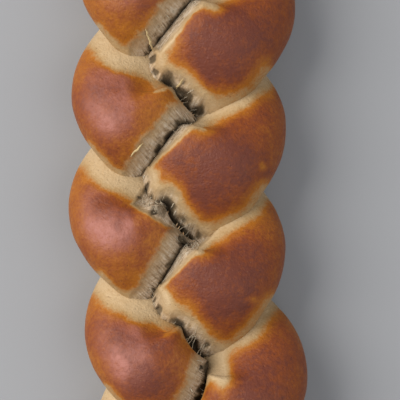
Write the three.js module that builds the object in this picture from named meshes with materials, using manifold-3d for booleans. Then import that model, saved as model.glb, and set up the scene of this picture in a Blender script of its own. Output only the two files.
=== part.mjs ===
// A braided loaf: three ropes of dough, plaited, pinched at both ends and baked into one piece.
// Millimetres, +Z up. The loaf lies along Y on its flat base, and the origin is the middle of that base.
import * as THREE from "three";
import { mergeVertices } from "three/addons/utils/BufferGeometryUtils.js";
import Module from "manifold-3d";

// The plait
const ROPES = 3;
const LOBE_PITCH = 54; // from one lobe to the next on the same side, in the middle of the loaf
const HALF_PLAIT = 3.7; // lobes on one side, from the middle of the loaf to a pinched end
const EVEN_LOBES = 1.9; // the lobes are evenly spaced this far from the middle
const END_CROWDING = 0.15; // how fast they close up after that
const SWAY = 26.2; // of a rope's centre line to each side
const LIFT = 12; // of a rope's centre line over and under the others
const LEAD = 0.5; // radians by which a rope climbs and dives ahead of its sway
const HURRY = -0.18; // radians by which it lingers at the side and hastens across
const SKEW = 3.8; // the lobes of the +X side lead those of the -X side by twice this
const BEND = 28; // both ends bend this far towards +X

// No two lobes are alike. They are listed from the +Y end, where lobes of the +X side and of the
// -X side take turns: how far each lies outwards and towards +Y of its regular place, and how much
// wider it is on its leading side.
const LOBE_SHIFTS = [
  [0, 0, 0], [0.5, -0.6, 0], [-0.8, 0.5, 0], [2, 2, 0.5], [0.2, 0.4, 1.5],
  [-1, -0.3, -2], [0, 0.2, 4], [0, 0.6, -7], [-1.8, 0.3, 0.5], [-1.8, -3.6, -7],
  [0.7, -1.3, -4], [3.5, 0.7, -1], [0.6, 0.4, 0], [-0.5, 0.8, 0], [0, 0, 0],
];
const CROWN = 0.52; // in lobes, from a lobe's outermost point to the middle of its leading side
const CROWN_REACH = 0.6; // and from there to where its own width ends

// A rope of dough
const ROPE_HALF_WIDTH = 23.8;
const ROPE_HALF_HEIGHT = 19;
const ROPE_CENTRE_HEIGHT = 17.5;
const INNER_BEND_SHARE = 0.85; // the inside of a bend stays this share of the bend's radius
const TAPER_START = 2; // in lobes from the middle
const TAPER_END = 4.05;
const END_THICKNESS = 0.45; // share of the full thickness that the taper leaves
const END_SWAY = 0.12;
const END_LIFT = 0.06;

// The tears, where a rope was pulled off the one that passes over it
const TEAR_BITES = 7; // ragged hollows along each tear
const TEAR_START = 0.2; // of the upper rope's half turn from its outermost point to its dive
const TEAR_END = 0.95;
const LAST_TEAR = 2.9; // in lobes from the middle: the pinched ends have no tears
const BITE_RADIUS = 5.2;
const BITE_SPREAD = 0.25; // share by which bites differ in size
const BITE_STRETCH = [1.25, 0.9, 0.8];
const BITE_REACH = 3.2; // from the upper rope's edge to the middle of a bite
const BITE_SCATTER = 0.4; // share by which they stray from that reach
const BITE_SINK = 1.2; // of a bite's middle below the crust
const TEAR_SEED = 11;

const TRAY = [300, 500, 60]; // the space under the base, where there is no dough

// Facets
const ROPE_SIDES = 18;
const ROPE_STEPS = 72;
const CAP_STEPS = 4;
const PLACE_STEP = 0.02; // in lobes, between the places where the crust's height is looked up
const PLACE_REACH = 1; // a place answers for the crust this far ahead of it and behind it

const HALF_TURN = Math.PI;
const LOBES_PER_WAVE = ROPES; // each rope comes back to the same side after as many lobes as there are ropes

// How far along the loaf a point of the plait lies, counted in lobes from the middle.
function along(lobes) {
  const past = Math.max(0, Math.abs(lobes) - EVEN_LOBES);
  return LOBE_PITCH * (lobes - Math.sign(lobes) * END_CROWDING * past ** 2);
}

// 1 in the middle of the loaf, and endValue at its ends.
function taper(lobes, endValue) {
  const share = THREE.MathUtils.smootherstep(Math.abs(lobes), TAPER_START, TAPER_END);
  return 1 - (1 - endValue) * share;
}

// The phase of a rope's wave: it is outermost at odd quarters, and on top from there to the next half turn.
function phase(rope, lobes) {
  return (2 * HALF_TURN * (lobes + rope)) / LOBES_PER_WAVE - HALF_TURN / 2;
}

// 1 at no distance, falling smoothly to 0 at the width.
function fade(away, width) {
  return Math.cos((THREE.MathUtils.clamp(away / width, -1, 1) * HALF_TURN) / 2) ** 2;
}

// How a rope differs from a regular one, as each of its lobes fades into the next half a wave on.
function unevenness(rope, lobes) {
  const sum = { outwards: 0, along: 0, widerLeft: 0, widerRight: 0 };
  const firstLobe = -(LOBE_SHIFTS.length - 1) / 2;
  LOBE_SHIFTS.forEach(([outwards, along, wider], i) => {
    const lobe = firstLobe + i;
    if ((lobe + 2 * rope) % ROPES !== 0) return;
    const weight = fade(lobes - lobe / 2, LOBES_PER_WAVE / 2);
    const side = lobe % 2 === 0 ? -1 : 1;
    sum.outwards += side * outwards * weight;
    sum.along += along * weight;
    sum[side > 0 ? "widerLeft" : "widerRight"] += wider * fade(lobes - lobe / 2 - CROWN, CROWN_REACH);
  });
  return sum;
}

// The centre line of one rope.
function ropeCentre(rope, lobes) {
  const wave = phase(rope, lobes);
  const thickness = taper(lobes, END_THICKNESS);
  const uneven = unevenness(rope, lobes);
  const sway = SWAY * taper(lobes, END_SWAY) * Math.sin(wave + HURRY * Math.sin(2 * wave));
  const y = -along(lobes) + SKEW * Math.sin(wave) * thickness + uneven.along;
  return new THREE.Vector3(
    sway + BEND * (y / along(HALF_PLAIT)) ** 2 + uneven.outwards,
    y,
    ROPE_CENTRE_HEIGHT * thickness - LIFT * taper(lobes, END_LIFT) * Math.sin(2 * wave + LEAD),
  );
}

// The rope's centre, direction, side and half sizes at one place.
function ropeFrame(rope, lobes) {
  const step = 0.01;
  const centre = ropeCentre(rope, lobes);
  const before = ropeCentre(rope, lobes - step);
  const after = ropeCentre(rope, lobes + step);
  const forward = after.clone().sub(before).setZ(0);
  const stride = forward.length() / 2;
  const turn = after.clone().add(before).addScaledVector(centre, -2).setZ(0);
  forward.normalize();
  const side = new THREE.Vector3(forward.y, -forward.x, 0);
  const curvature = turn.dot(side) / stride ** 2;
  const thickness = taper(lobes, END_THICKNESS);
  const { widerLeft, widerRight } = unevenness(rope, lobes);
  return {
    centre,
    forward,
    side,
    halfWidth: ROPE_HALF_WIDTH * thickness,
    halfHeight: ROPE_HALF_HEIGHT * thickness,
    leading: Math.sign(side.y),
    widerLeft,
    widerRight,
    curvature,
  };
}

// How far the rope reaches to one side of its centre line, -X where across is positive: less on the
// inside of a tight bend.
function reach(frame, across) {
  const inside = across * frame.curvature > 0;
  const room = inside ? INNER_BEND_SHARE / Math.abs(frame.curvature) : Infinity;
  return Math.min(frame.halfWidth, room) + (across > 0 ? frame.widerLeft : frame.widerRight);
}

// A straight rope with round ends, bent along its place in the plait.
function ropeGeometry(rope) {
  const halfStraight = ROPE_STEPS / 2;
  const geometry = new THREE.CapsuleGeometry(1, 2 * halfStraight, CAP_STEPS, ROPE_SIDES, ROPE_STEPS);
  const position = geometry.getAttribute("position");
  const point = new THREE.Vector3();
  for (let i = 0; i < position.count; i++) {
    point.fromBufferAttribute(position, i);
    const straight = THREE.MathUtils.clamp(point.y, -halfStraight, halfStraight);
    const beyond = point.y - straight;
    const frame = ropeFrame(rope, (HALF_PLAIT * straight) / halfStraight);
    const placed = frame.centre
      .clone()
      .addScaledVector(frame.side, point.x * reach(frame, point.x))
      .addScaledVector(frame.forward, beyond * frame.halfWidth);
    placed.z += point.z * frame.halfHeight;
    position.setXYZ(i, placed.x, placed.y, placed.z);
  }
  return geometry;
}

// One ragged hollow of a tear: a faceted pebble, turned and stretched at random.
function biteGeometry(centre, radius, random) {
  const turn = new THREE.Euler(random() * HALF_TURN, random() * HALF_TURN, random() * HALF_TURN);
  const stretch = new THREE.Vector3(...BITE_STRETCH).multiplyScalar(radius);
  return new THREE.IcosahedronGeometry(1, 0)
    .applyMatrix4(new THREE.Matrix4().makeScale(stretch.x, stretch.y, stretch.z))
    .applyMatrix4(new THREE.Matrix4().makeRotationFromEuler(turn))
    .translate(centre.x, centre.y, centre.z);
}

// Places all along the three ropes.
const ropePlaces = [];
for (let rope = 0; rope < ROPES; rope++) {
  for (let lobes = -HALF_PLAIT; lobes <= HALF_PLAIT; lobes += PLACE_STEP) {
    ropePlaces.push(ropeFrame(rope, lobes));
  }
}

// The height of the crust over a place, or minus infinity outside the loaf.
function crustHeight(x, y) {
  let highest = -Infinity;
  for (const frame of ropePlaces) {
    const { centre, forward, side, halfHeight } = frame;
    const dx = x - centre.x;
    const dy = y - centre.y;
    if (Math.abs(dx * forward.x + dy * forward.y) > PLACE_REACH) continue;
    const away = dx * side.x + dy * side.y;
    const across = away / reach(frame, away);
    if (Math.abs(across) < 1) highest = Math.max(highest, centre.z + halfHeight * Math.sqrt(1 - across ** 2));
  }
  return highest;
}

// The bites of every tear, each along the leading edge of a rope that lies on top.
function tearGeometries() {
  THREE.MathUtils.seededRandom(TEAR_SEED);
  const random = () => THREE.MathUtils.seededRandom();
  const bites = [];
  for (let rope = 0; rope < ROPES; rope++) {
    const firstQuarter = Math.ceil((phase(rope, -HALF_PLAIT) - HALF_TURN / 2) / HALF_TURN);
    const lastQuarter = Math.floor((phase(rope, HALF_PLAIT) - HALF_TURN / 2) / HALF_TURN);
    for (let quarter = firstQuarter; quarter <= lastQuarter; quarter++) {
      for (let i = 0; i < TEAR_BITES; i++) {
        const share = THREE.MathUtils.lerp(TEAR_START, TEAR_END, (i + random() / 2) / TEAR_BITES);
        const wave = HALF_TURN / 2 + quarter * HALF_TURN + (share * HALF_TURN) / 2;
        const lobes = ((wave + HALF_TURN / 2) * LOBES_PER_WAVE) / (2 * HALF_TURN) - rope;
        if (Math.abs(lobes) > LAST_TEAR) continue;
        const frame = ropeFrame(rope, lobes);
        const radius = BITE_RADIUS * (1 + BITE_SPREAD * (2 * random() - 1));
        const beyond = BITE_REACH * (1 + BITE_SCATTER * (2 * random() - 1));
        const outwards = reach(frame, frame.leading) + beyond;
        const centre = frame.centre.clone().addScaledVector(frame.side, frame.leading * outwards);
        centre.z = crustHeight(centre.x, centre.y) - BITE_SINK;
        if (Number.isFinite(centre.z)) bites.push(biteGeometry(centre, radius, random));
      }
    }
  }
  return bites;
}

const wasm = await Module();
wasm.setup();

// A closed geometry as a solid that can be joined and cut.
function solidOf(geometry) {
  const bare = geometry.clone();
  bare.deleteAttribute("normal");
  bare.deleteAttribute("uv");
  const merged = mergeVertices(bare, 1e-4);
  return new wasm.Manifold(
    new wasm.Mesh({
      numProp: 3,
      vertProperties: merged.getAttribute("position").array,
      triVerts: new Uint32Array(merged.index.array),
    }),
  );
}

// A solid as a geometry again.
function geometryOf(solid) {
  const mesh = solid.getMesh();
  const geometry = new THREE.BufferGeometry();
  geometry.setAttribute("position", new THREE.BufferAttribute(mesh.vertProperties, 3));
  geometry.setIndex(new THREE.BufferAttribute(mesh.triVerts, 1));
  geometry.computeVertexNormals();
  return geometry;
}

// The three ropes grown together in the oven, flat where they lay on the tray.
function loafSolid() {
  let dough = solidOf(ropeGeometry(0));
  for (let rope = 1; rope < ROPES; rope++) dough = dough.add(solidOf(ropeGeometry(rope)));
  const tray = new THREE.BoxGeometry(...TRAY).translate(0, 0, -TRAY[2] / 2);
  dough = dough.subtract(solidOf(tray));
  for (const bite of tearGeometries()) dough = dough.subtract(solidOf(bite));
  const [loaf, ...looseCrumbs] = dough.decompose().sort((a, b) => b.volume() - a.volume());
  looseCrumbs.forEach((crumb) => crumb.delete());
  return loaf;
}

const crust = new THREE.MeshStandardMaterial({ color: 0xa8663c, roughness: 0.55, metalness: 0 });
const loaf = new THREE.Mesh(geometryOf(loafSolid()), crust);
const middle = new THREE.Box3().setFromObject(loaf).getCenter(new THREE.Vector3());
loaf.geometry.translate(-middle.x, -middle.y, 0);
loaf.name = "braided_loaf";

const group = new THREE.Group();
group.add(loaf);
export default group;
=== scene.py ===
"""Dresses a braided loaf: three ropes of dough, the torn crumb between them and its ragged edges."""
import logging
import math
from dataclasses import astuple, dataclass, field, fields, replace
from enum import Enum
from functools import partialmethod
from typing import Any, Optional, Union

import bpy
import numpy as np
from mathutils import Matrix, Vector
from mathutils.bvhtree import BVHTree


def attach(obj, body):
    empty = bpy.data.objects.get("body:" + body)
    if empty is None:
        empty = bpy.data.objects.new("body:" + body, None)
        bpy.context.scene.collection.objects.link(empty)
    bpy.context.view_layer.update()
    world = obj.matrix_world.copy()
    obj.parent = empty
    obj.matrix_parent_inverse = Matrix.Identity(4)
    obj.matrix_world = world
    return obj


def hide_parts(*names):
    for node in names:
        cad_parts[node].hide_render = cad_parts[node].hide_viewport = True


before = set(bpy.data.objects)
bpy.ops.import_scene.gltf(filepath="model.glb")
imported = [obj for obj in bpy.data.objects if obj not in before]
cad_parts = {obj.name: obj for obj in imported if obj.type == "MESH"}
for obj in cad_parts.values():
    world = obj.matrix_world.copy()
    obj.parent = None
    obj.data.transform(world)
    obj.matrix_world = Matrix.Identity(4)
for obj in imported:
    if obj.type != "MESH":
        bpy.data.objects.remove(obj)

LOG = logging.getLogger("loaf")
MM = 0.001
NODE = "braided_loaf"
BODY = "root"
HALF_TURN = math.pi
CAP_SHARE = 0.055  # length of a rope's end cap, as a share of half the loaf
ROPE_PER_LOBE = 66 * MM  # a rope's own length from a lobe to the next one on the same side
ROPE_RADIUS = 21 * MM  # mean radius of a rope
SKY = 0.2  # height from which rays are cast down
DOWN = Vector((0, 0, -1))
HASH_STEPS = (374761393, 668265263, 2147483647)  # large odd factors that scatter neighbouring cells
HASH_SEED_STEP = 144665
HASH_MIX = 1274126177
HASH_TOP = 0xFFFFFF


class Val:
    """A socket's value that takes part in Python expressions, which add Math nodes."""

    def __init__(self, tree: "Tree", socket: bpy.types.NodeSocket) -> None:
        """Wraps an output socket of one of a tree's nodes."""
        self.tree = tree
        self.socket = socket

    def _before(self, operation: str, other: "Number") -> "Val":
        """A Math node's value with this value as its first operand."""
        return self.tree.maths(operation, self, other)

    def _after(self, operation: str, other: "Number") -> "Val":
        """A Math node's value with this value as its second operand."""
        return self.tree.maths(operation, other, self)

    __add__ = partialmethod(_before, "ADD")
    __radd__ = partialmethod(_after, "ADD")
    __sub__ = partialmethod(_before, "SUBTRACT")
    __rsub__ = partialmethod(_after, "SUBTRACT")
    __mul__ = partialmethod(_before, "MULTIPLY")
    __rmul__ = partialmethod(_after, "MULTIPLY")
    __truediv__ = partialmethod(_before, "DIVIDE")
    __rtruediv__ = partialmethod(_after, "DIVIDE")
    __pow__ = partialmethod(_before, "POWER")


Number = Union[float, Val]


class Tree:
    """A node tree. Its arithmetic has numpy's names, so that one formula serves both."""

    def __init__(self, tree: bpy.types.NodeTree) -> None:
        """Wraps a geometry or shader node tree."""
        self.tree = tree

    def node(self, kind: str, settings: Optional[dict] = None,
             inputs: Optional[dict] = None) -> bpy.types.Node:
        """Adds a node.

        Args:
            kind: its type.
            settings: its properties, and "stops" for a ramp: pairs of a position and a colour.
            inputs: its sockets by name or number, each a Val to link or a plain value.

        Returns:
            The node.
        """
        node = self.tree.nodes.new(kind)
        for name, value in (settings or {}).items():
            if name == "stops":
                self._set_stops(node.color_ramp, value)
            else:
                setattr(node, name, value)
        for key, value in (inputs or {}).items():
            if isinstance(value, Val):
                self.tree.links.new(value.socket, node.inputs[key])
            else:
                node.inputs[key].default_value = value
        return node

    def _set_stops(self, ramp: bpy.types.ColorRamp, stops: list) -> None:
        """Puts the stops on a colour ramp.

        Args:
            ramp: a ramp with its first two elements.
            stops: pairs of a position and a colour.
        """
        while len(ramp.elements) < len(stops):
            ramp.elements.new(0.5)
        for element, (position, colour) in zip(ramp.elements, stops):
            element.position = position
            element.color = (*colour, 1.0)

    def val(self, kind: str, settings: Optional[dict] = None, inputs: Optional[dict] = None,
            output: Any = 0) -> Val:
        """Adds a node as node() does, and gives one of its outputs, by name or number."""
        return Val(self, self.node(kind, settings, inputs).outputs[output])

    def maths(self, operation: str, *operands: Number) -> Val:
        """One Math node on the operands."""
        return self.val("ShaderNodeMath", {"operation": operation}, dict(enumerate(operands)))

    def vector(self, operation: str, first: Any, second: Any) -> Val:
        """One Vector Math node, whose second operand is the scale where it scales."""
        second_socket = "Scale" if operation == "SCALE" else 1
        return self.val("ShaderNodeVectorMath", {"operation": operation}, {0: first, second_socket: second})

    sin = partialmethod(maths, "SINE")
    cos = partialmethod(maths, "COSINE")
    sqrt = partialmethod(maths, "SQRT")
    absolute = partialmethod(maths, "ABSOLUTE")
    sign = partialmethod(maths, "SIGN")
    minimum = partialmethod(maths, "MINIMUM")
    maximum = partialmethod(maths, "MAXIMUM")


Maths = Any  # numpy, or a Tree: both have sin, cos, sqrt, absolute, sign, minimum and maximum


def clamp(m: Maths, x: Any, low: float, high: float) -> Any:
    """A value kept between two limits."""
    return m.minimum(m.maximum(x, low), high)


def smootherstep(m: Maths, x: Any, low: float, high: float) -> Any:
    """0 below the low limit, 1 above the high one, and smooth between them."""
    t = clamp(m, (x - low) / (high - low), 0.0, 1.0)
    return t * t * t * (t * (t * 6.0 - 15.0) + 10.0)


@dataclass(frozen=True)
class RopePlace:
    """A rope's centre line, direction and half sizes at one place, or at many as arrays."""

    x: Any
    y: Any
    z: Any
    forward_x: Any
    forward_y: Any
    curvature: Any
    half_width: Any
    half_height: Any
    wave: Any
    wider_left: Any
    wider_right: Any


# No two lobes are alike. From the +Y end: how many mm each lies outwards and towards +Y of its
# regular place, and how many mm wider it is on its leading side.
LOBE_SHIFTS = (
    (0, 0, 0), (0.5, -0.6, 0), (-0.8, 0.5, 0), (2, 2, 0.5), (0.2, 0.4, 1.5),
    (-1, -0.3, -2), (0, 0.2, 4), (0, 0.6, -7), (-1.8, 0.3, 0.5), (-1.8, -3.6, -7),
    (0.7, -1.3, -4), (3.5, 0.7, -1), (0.6, 0.4, 0), (-0.5, 0.8, 0), (0, 0, 0),
)


@dataclass(frozen=True)
class Plait:
    """The rule that the three ropes follow. Lengths are in metres, angles in radians."""

    lobe_pitch: Any = 54 * MM  # from a lobe to the next one on the same side
    half_plait: Any = 3.7  # from the loaf's middle to a rope's end, in lobes of one side
    even_lobes: Any = 1.9  # up to here the lobes are evenly spaced
    end_crowding: Any = 0.15  # how fast they come closer together past that
    sway: Any = 26.2 * MM  # how far a rope swings to either side
    lift: Any = 12 * MM  # how far it rises and dips
    lead: Any = 0.5  # by which angle the dips run ahead of the sway
    hurry: Any = -0.18  # above 0, a rope crosses faster and lingers at the sides
    skew: Any = 3.8 * MM  # how far the lobes on +X lie towards +Y, and those on -X towards -Y
    bend: Any = 28 * MM  # how far both ends curve towards +X
    rope_half_width: Any = 23.8 * MM
    rope_half_height: Any = 19 * MM
    rope_centre_height: Any = 17.5 * MM
    inner_bend_share: Any = 1.05  # the half width inside a bend is at most this share of its radius
    taper_start: Any = 2.0
    taper_end: Any = 4.05
    end_thickness: Any = 0.45
    end_sway: Any = 0.12
    end_lift: Any = 0.06
    crown: Any = 0.52  # how far past a lobe's middle its own widening is greatest
    crown_reach: Any = 0.6  # how far from there it fades out
    squareness: Any = 1.3  # how square the leading shoulder is

    ROPES = 3
    STRIDE = 0.01  # step between the places from which a direction is found, in lobes

    def along(self, m: Maths, lobes: Any) -> Any:
        """How far along the loaf a point lies, from its place counted in lobes."""
        past = m.maximum(m.absolute(lobes) - self.even_lobes, 0.0)
        return self.lobe_pitch * (lobes - m.sign(lobes) * self.end_crowding * past * past)

    def taper(self, m: Maths, lobes: Any, end_value: Any) -> Any:
        """1 in the middle of the loaf, falling towards end_value at its ends."""
        return 1.0 - (1.0 - end_value) * smootherstep(m, m.absolute(lobes), self.taper_start, self.taper_end)

    def wave(self, rope: Any, lobes: Any) -> Any:
        """The phase of a rope's wave, whose odd quarters are its outermost places."""
        return (lobes + rope) * (2 * HALF_TURN / self.ROPES) - HALF_TURN / 2

    def unevenness(self, m: Maths, rope: Any, lobes: Any) -> tuple:
        """How a rope differs from a regular one, as each of its lobes fades into the next.

        Args:
            m: numpy or a tree.
            rope: the rope's number.
            lobes: the place along it.

        Returns:
            Its shifts towards +X and +Y, and how much wider it is towards -X and towards +X.
        """
        first = -(len(LOBE_SHIFTS) // 2)
        across, along = 0.0, 0.0
        wider = [0.0, 0.0]
        for lobe, (out, up, wide) in enumerate(LOBE_SHIFTS, first):
            belongs = m.maximum(1.0 - m.absolute(rope - float(lobe % self.ROPES)), 0.0)
            if out or up:
                weight = belongs * self._fade(m, lobes - lobe / 2, self.ROPES / 2)
                side = 1 if lobe % 2 else -1
                across = across + weight * (side * out * MM)
                along = along + weight * (up * MM)
            if wide:
                weight = belongs * self._fade(m, lobes - lobe / 2 - self.crown, self.crown_reach)
                inner = 0 if lobe % 2 else 1
                wider[inner] = wider[inner] + weight * (wide * MM)
        return across, along, *wider

    def _fade(self, m: Maths, away: Any, width: Any) -> Any:
        """1 at no distance, falling smoothly to 0 at the width."""
        fade = m.cos(clamp(m, away / width, -1.0, 1.0) * (HALF_TURN / 2))
        return fade * fade

    def centre(self, m: Maths, rope: Any, lobes: Any) -> tuple:
        """A rope's centre line.

        Args:
            m: numpy or a tree.
            rope: the rope's number.
            lobes: the place along it.

        Returns:
            Its X, Y and Z.
        """
        wave = self.wave(rope, lobes)
        thickness = self.taper(m, lobes, self.end_thickness)
        across, along, _, _ = self.unevenness(m, rope, lobes)
        sway = self.sway * self.taper(m, lobes, self.end_sway) * m.sin(wave + m.sin(wave * 2.0) * self.hurry)
        y = along - self.along(m, lobes) + self.skew * m.sin(wave) * thickness
        bent = y / self.along(m, self.half_plait + 0.0 * lobes)
        x = sway + self.bend * bent * bent + across
        lift = self.lift * self.taper(m, lobes, self.end_lift) * m.sin(wave * 2.0 + self.lead)
        return x, y, self.rope_centre_height * thickness - lift

    def place(self, m: Maths, rope: Any, lobes: Any) -> RopePlace:
        """All about a rope at one place.

        Args:
            m: numpy or a tree.
            rope: the rope's number.
            lobes: the place along it.

        Returns:
            The place.
        """
        x, y, z = self.centre(m, rope, lobes)
        x_before, y_before, _ = self.centre(m, rope, lobes - self.STRIDE)
        x_after, y_after, _ = self.centre(m, rope, lobes + self.STRIDE)
        step_x, step_y = x_after - x_before, y_after - y_before
        stride = m.sqrt(step_x * step_x + step_y * step_y)
        forward_x, forward_y = step_x / stride, step_y / stride
        turn_x, turn_y = x_after + x_before - x * 2.0, y_after + y_before - y * 2.0
        curvature = (turn_x * forward_y - turn_y * forward_x) * 4.0 / (stride * stride)
        thickness = self.taper(m, lobes, self.end_thickness)
        return RopePlace(
            x, y, z, forward_x, forward_y, curvature,
            self.rope_half_width * thickness,
            self.rope_half_height * thickness,
            self.wave(rope, lobes),
            *self.unevenness(m, rope, lobes)[2:],
        )

    def surface(self, m: Maths, rope: Any, lobes: Any, beyond: Any, turn: Any) -> tuple:
        """A point of a rope's surface.

        Args:
            m: numpy or a tree.
            rope: the rope's number.
            lobes: the place along it.
            beyond: how far past the end of its centre line, as a share of the end cap.
            turn: the angle round the section, from its side.

        Returns:
            Its X, Y and Z, and how far from the centre line it lies as a share of the section.
        """
        place = self.place(m, rope, lobes)
        radial = m.sqrt(m.maximum(1.0 - beyond * beyond, 0.0))
        out, up = section(m, self, place, turn)
        inside = m.maximum(m.sign(out * place.curvature), 0.0)
        left = m.maximum(m.sign(out), 0.0)
        room = self.inner_bend_share / (m.absolute(place.curvature) + 0.001)
        reach = place.half_width + inside * (m.minimum(place.half_width, room) - place.half_width)
        reach = (reach + left * place.wider_left + (1.0 - left) * place.wider_right) * out * radial
        x = place.x + place.forward_y * reach + place.forward_x * beyond * place.half_width
        y = place.y - place.forward_x * reach + place.forward_y * beyond * place.half_width
        return x, y, place.z + up * radial * place.half_height, radial

    def middle(self, cap_share: float, along: int = 731, around: int = 132) -> np.ndarray:
        """The middle of the ropes' outline in plan.

        Args:
            cap_share: the length of an end cap, as a share of half the loaf.
            along: how many places along a rope are looked at.
            around: how many places round it are looked at.

        Returns:
            Its X and Y, and 0.
        """
        share, turn = np.meshgrid(np.linspace(-1 - cap_share, 1 + cap_share, along),
                                  np.linspace(0, 2 * HALF_TURN, around))
        straight = np.clip(share, -1, 1)
        beyond = (share - straight) / cap_share
        lobes = straight * self.half_plait
        plan = [self.surface(np, float(rope), lobes, beyond, turn)[:2] for rope in range(self.ROPES)]
        low, high = np.min(plan, axis=(0, 2, 3)), np.max(plan, axis=(0, 2, 3))
        return np.append((low + high) / 2, 0.0)

    def over(self, m: Maths, wave: Any) -> Any:
        """1 where a rope passes over the others, and 0 where it is at the side or under them."""
        return smootherstep(m, m.sin(wave * 2.0 - 0.15) * -1.0, -0.05, 0.45)


@dataclass
class DoughRopes:
    """The three ropes as smooth closed tubes, made by one Geometry Nodes tree."""

    plait: Plait
    middle: np.ndarray
    steps: int = 730
    sides: int = 132
    upper_sides: float = 0.84  # the share of the sides that the part that can be seen gets
    upper_start: float = -0.4  # the angle where that part starts
    cap_share: float = CAP_SHARE
    around: float = 132 * MM  # a rope's mean girth

    def build(self, material: bpy.types.Material) -> list:
        """Makes the ropes.

        Args:
            material: what they are made of.

        Returns:
            Three mesh objects.
        """
        tree = self._tree(material)
        return [run_tree(f"rope_{rope + 1}", tree, {"rope": float(rope)}) for rope in range(Plait.ROPES)]

    def _tree(self, material: bpy.types.Material) -> bpy.types.NodeTree:
        """Builds the tree that makes a rope from its sizes.

        Args:
            material: what the ropes are made of.

        Returns:
            The tree.
        """
        sizes = {size.name: getattr(self.plait, size.name) for size in fields(Plait)}
        tree, _, inputs = piece_tree("Dough rope", {"rope": 0.0, **sizes})
        rope = inputs.pop("rope")
        plait = replace(self.plait, **inputs)

        spot = tree.node("ShaderNodeSeparateXYZ", inputs={0: tree.val("GeometryNodeInputPosition")})
        along = Val(tree, spot.outputs["X"]) * (1.0 + self.cap_share)
        straight = clamp(tree, along, -1.0, 1.0)
        beyond = (along - straight) / self.cap_share
        lobes = straight * plait.half_plait
        around = Val(tree, spot.outputs["Y"]) + 0.5
        upper = HALF_TURN - 2 * self.upper_start
        lower = 2 * HALF_TURN - upper
        turn = (
            tree.minimum(around, self.upper_sides) * (upper / self.upper_sides)
            + tree.maximum(around - self.upper_sides, 0.0) * (lower / (1 - self.upper_sides))
            + self.upper_start
        )
        x, y, z, radial = plait.surface(tree, rope, lobes, beyond, turn)
        x, y = x - self.middle[0], y - self.middle[1]

        mesh = tree.val("GeometryNodeMeshGrid", inputs={
            "Size X": 2.0, "Size Y": 1.0, "Vertices X": self.steps, "Vertices Y": self.sides}, output="Mesh")
        mesh = self._keep(tree, mesh, "lobes", lobes)
        mesh = self._keep(tree, mesh, "turn", turn)
        mesh = self._keep(tree, mesh, "radial", radial)
        chart = tree.val("ShaderNodeCombineXYZ", inputs={
            0: lobes * ROPE_PER_LOBE, 1: turn * (self.around / (2 * HALF_TURN)), 2: 0.0})
        mesh = tree.val("GeometryNodeStoreNamedAttribute", {"data_type": "FLOAT2", "domain": "CORNER"},
                        {"Geometry": mesh, "Name": "dough", "Value": chart})
        mesh = tree.val("GeometryNodeSetPosition", inputs={
            "Geometry": mesh, "Position": tree.val("ShaderNodeCombineXYZ", inputs={0: x, 1: y, 2: z})})
        mesh = tree.val("GeometryNodeMergeByDistance", inputs={"Geometry": mesh, "Distance": 0.01 * MM})
        mesh = tree.val("GeometryNodeSetShadeSmooth", inputs={"Geometry": mesh, "Shade Smooth": True})
        return finish_tree(tree, mesh, material)

    def _keep(self, tree: Tree, mesh: Val, name: str, value: Val) -> Val:
        """Stores a value on the mesh's points under a name."""
        return tree.val("GeometryNodeStoreNamedAttribute", {"data_type": "FLOAT", "domain": "POINT"},
                        {"Geometry": mesh, "Name": name, "Value": value})


def section(m: Maths, plait: Plait, place: RopePlace, turn: Any) -> tuple:
    """A rope's section: an ellipse whose leading shoulder is squarer where it passes over.

    Args:
        m: numpy or a tree.
        plait: the plait's sizes.
        place: the place along the rope.
        turn: the angle round the section, from its side.

    Returns:
        How far out and up, in half widths and half heights.
    """
    side, rise = m.cos(turn), m.sin(turn)
    leading = m.sign(place.forward_x) * -1.0
    shoulder = smootherstep(m, side * leading, 0.0, 0.3)
    square = 2.0 + plait.squareness * plait.over(m, place.wave) * shoulder
    power = 2.0 / square
    above = m.maximum(m.sign(rise), 0.0)
    out = m.sign(side) * m.absolute(side) ** (1.0 + (power - 1.0) * above)
    up = m.sign(rise) * m.absolute(rise) ** (1.0 + (power - 1.0) * above)
    return out, up


def new_object(name: str, data: Any) -> bpy.types.Object:
    """Puts data in the scene.

    Args:
        name: the object's name.
        data: its mesh, light or camera.

    Returns:
        The object.
    """
    thing = bpy.data.objects.new(name, data)
    bpy.context.scene.collection.objects.link(thing)
    return thing


def run_tree(name: str, tree: bpy.types.NodeTree, values: dict,
             start: Optional[bpy.types.Mesh] = None) -> bpy.types.Object:
    """Runs a Geometry Nodes tree and keeps its result as a plain mesh object.

    Args:
        name: the new object's name.
        tree: the tree.
        values: its inputs by name.
        start: the mesh that it starts from, if it needs one.

    Returns:
        The object.
    """
    maker = new_object(name + "_maker", start or bpy.data.meshes.new(name + "_maker"))
    modifier = maker.modifiers.new("maker", "NODES")
    modifier.node_group = tree
    for item in tree.interface.items_tree:
        if item.in_out == "INPUT" and item.name in values:
            modifier[item.identifier] = values[item.name]
    bpy.context.view_layer.update()
    evaluated = maker.evaluated_get(bpy.context.evaluated_depsgraph_get())
    mesh = bpy.data.meshes.new_from_object(evaluated)
    maker.modifiers.clear()
    bpy.data.objects.remove(maker)
    mesh.name = name
    return new_object(name, mesh)


def read(mesh: bpy.types.Mesh, name: str) -> np.ndarray:
    """Reads a point attribute of a mesh.

    Args:
        mesh: the mesh.
        name: the attribute's name.

    Returns:
        Its values.
    """
    values = np.zeros(len(mesh.vertices), np.float32)
    mesh.attributes[name].data.foreach_get("value", values)
    return values.astype(float)


def write(mesh: bpy.types.Mesh, name: str, values: np.ndarray) -> None:
    """Stores an array as a point attribute of a mesh."""
    attribute = mesh.attributes.get(name) or mesh.attributes.new(name, "FLOAT", "POINT")
    attribute.data.foreach_set("value", values.astype(np.float32))


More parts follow.
